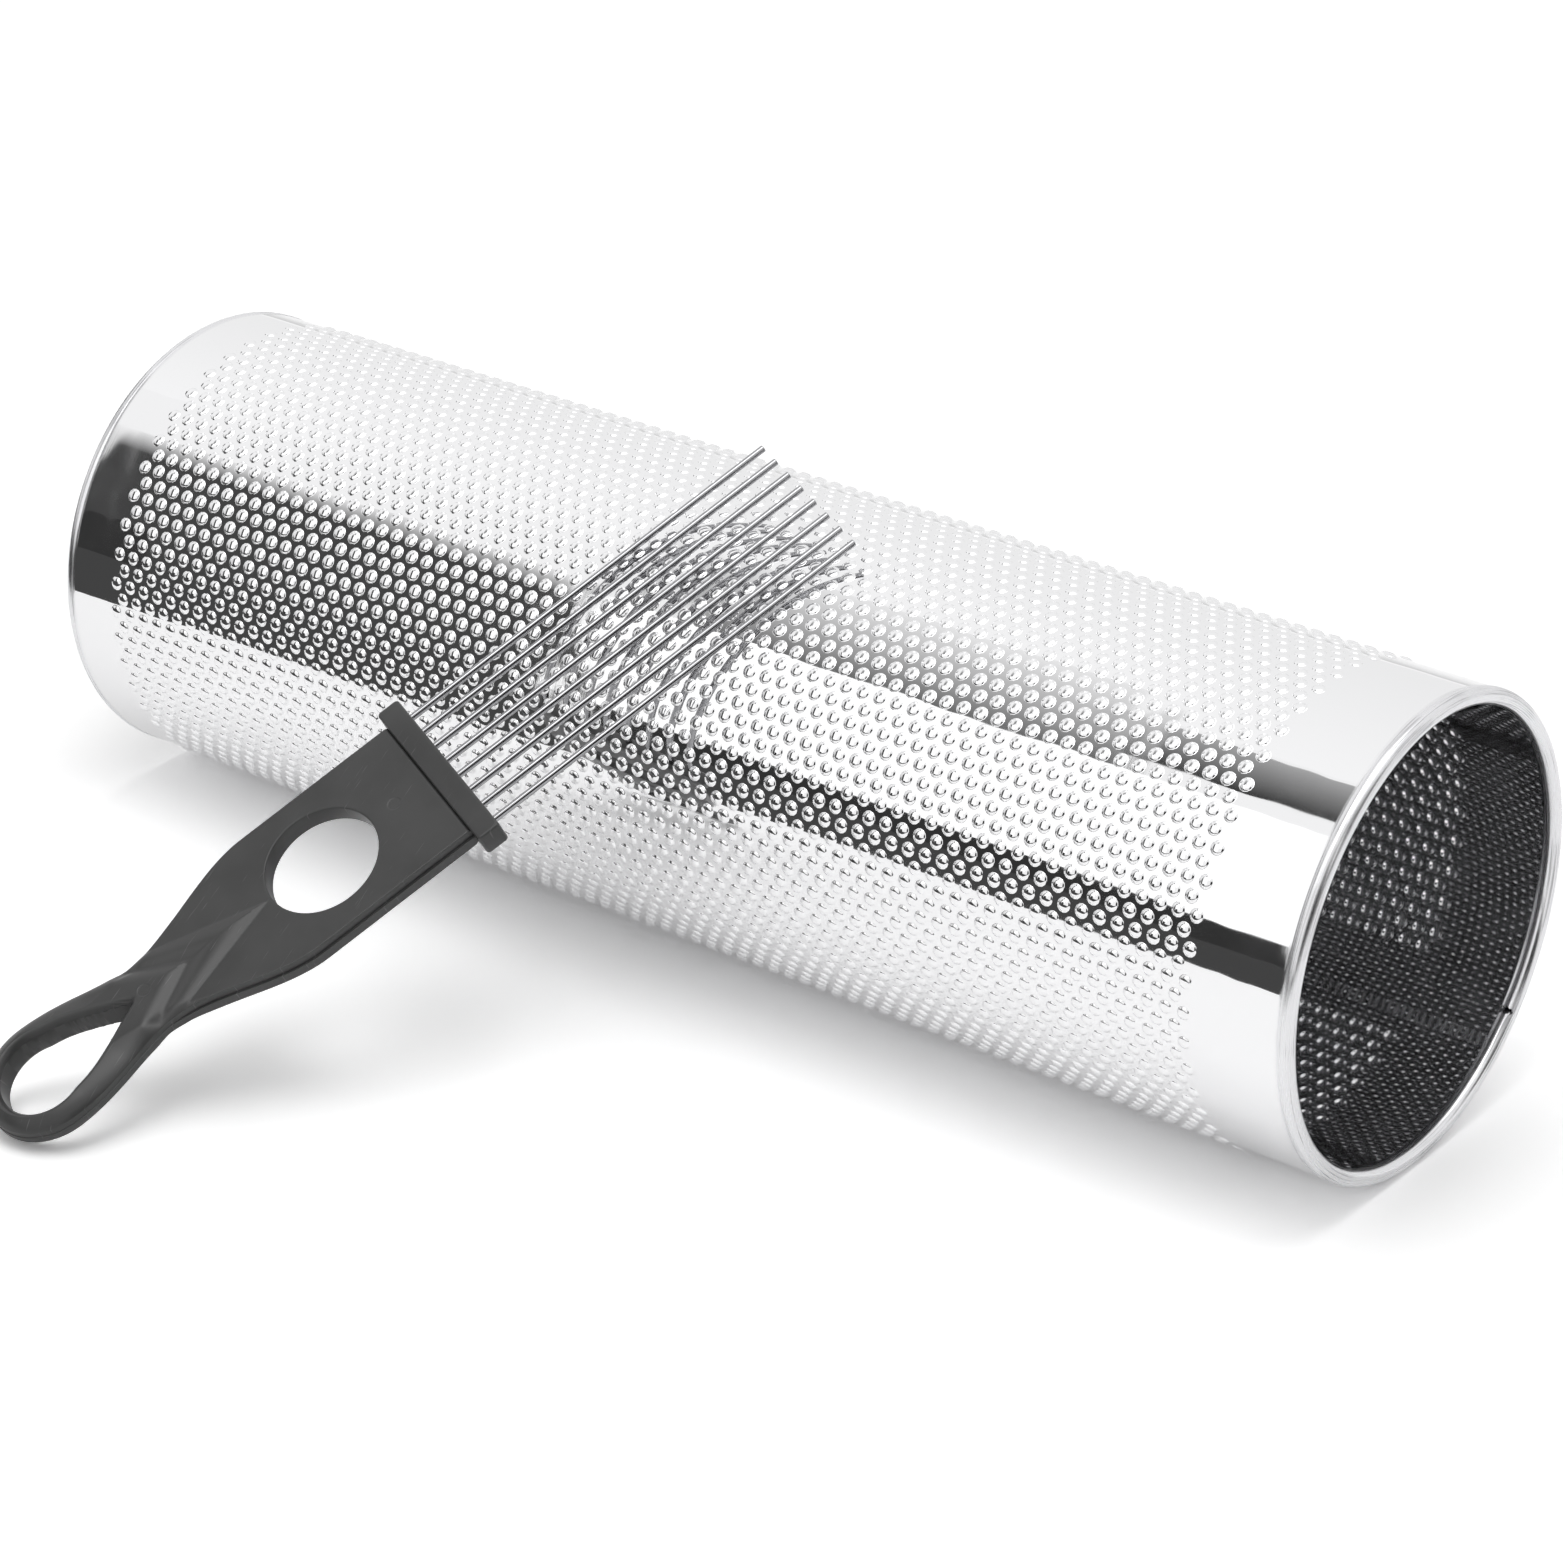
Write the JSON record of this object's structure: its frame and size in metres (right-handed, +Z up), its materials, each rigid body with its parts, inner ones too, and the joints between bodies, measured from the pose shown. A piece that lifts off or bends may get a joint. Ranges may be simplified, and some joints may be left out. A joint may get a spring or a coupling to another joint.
{
  "type": "metal guiro with scraper",
  "caption": "Open steel tube with rolled rims, a dimpled rasping field and a lap seam, scraped along its length by a plastic-handled fork of straight wire tines.",
  "frame": {"origin": "on the floor, under the middle of the set's bounding box", "axes": "+X along the tube towards its near, open end; +Y from the scraper towards the tube; +Z up"},
  "size_m": [0.3, 0.2038, 0.1052],
  "materials": {
    "polished_sheet_steel": "polished",
    "tine_wire": "drawn and polished",
    "moulded_handle_plastic": "satin"
  },
  "bodies": {
    "guiro": {"tube": "polished_sheet_steel"},
    "scraper": {"handle": "moulded_handle_plastic", "head_bar": "moulded_handle_plastic", "tine_1": "tine_wire", "tine_2": "tine_wire", "tine_3": "tine_wire", "tine_4": "tine_wire", "tine_5": "tine_wire", "tine_6": "tine_wire", "tine_7": "tine_wire", "tine_8": "tine_wire"}
  },
  "joints": [
    {"name": "scraping_stroke", "type": "slide", "parent": "guiro", "child": "scraper", "axis": [1, 0, 0], "range_m": [-0.115, 0.105]}
  ]
}
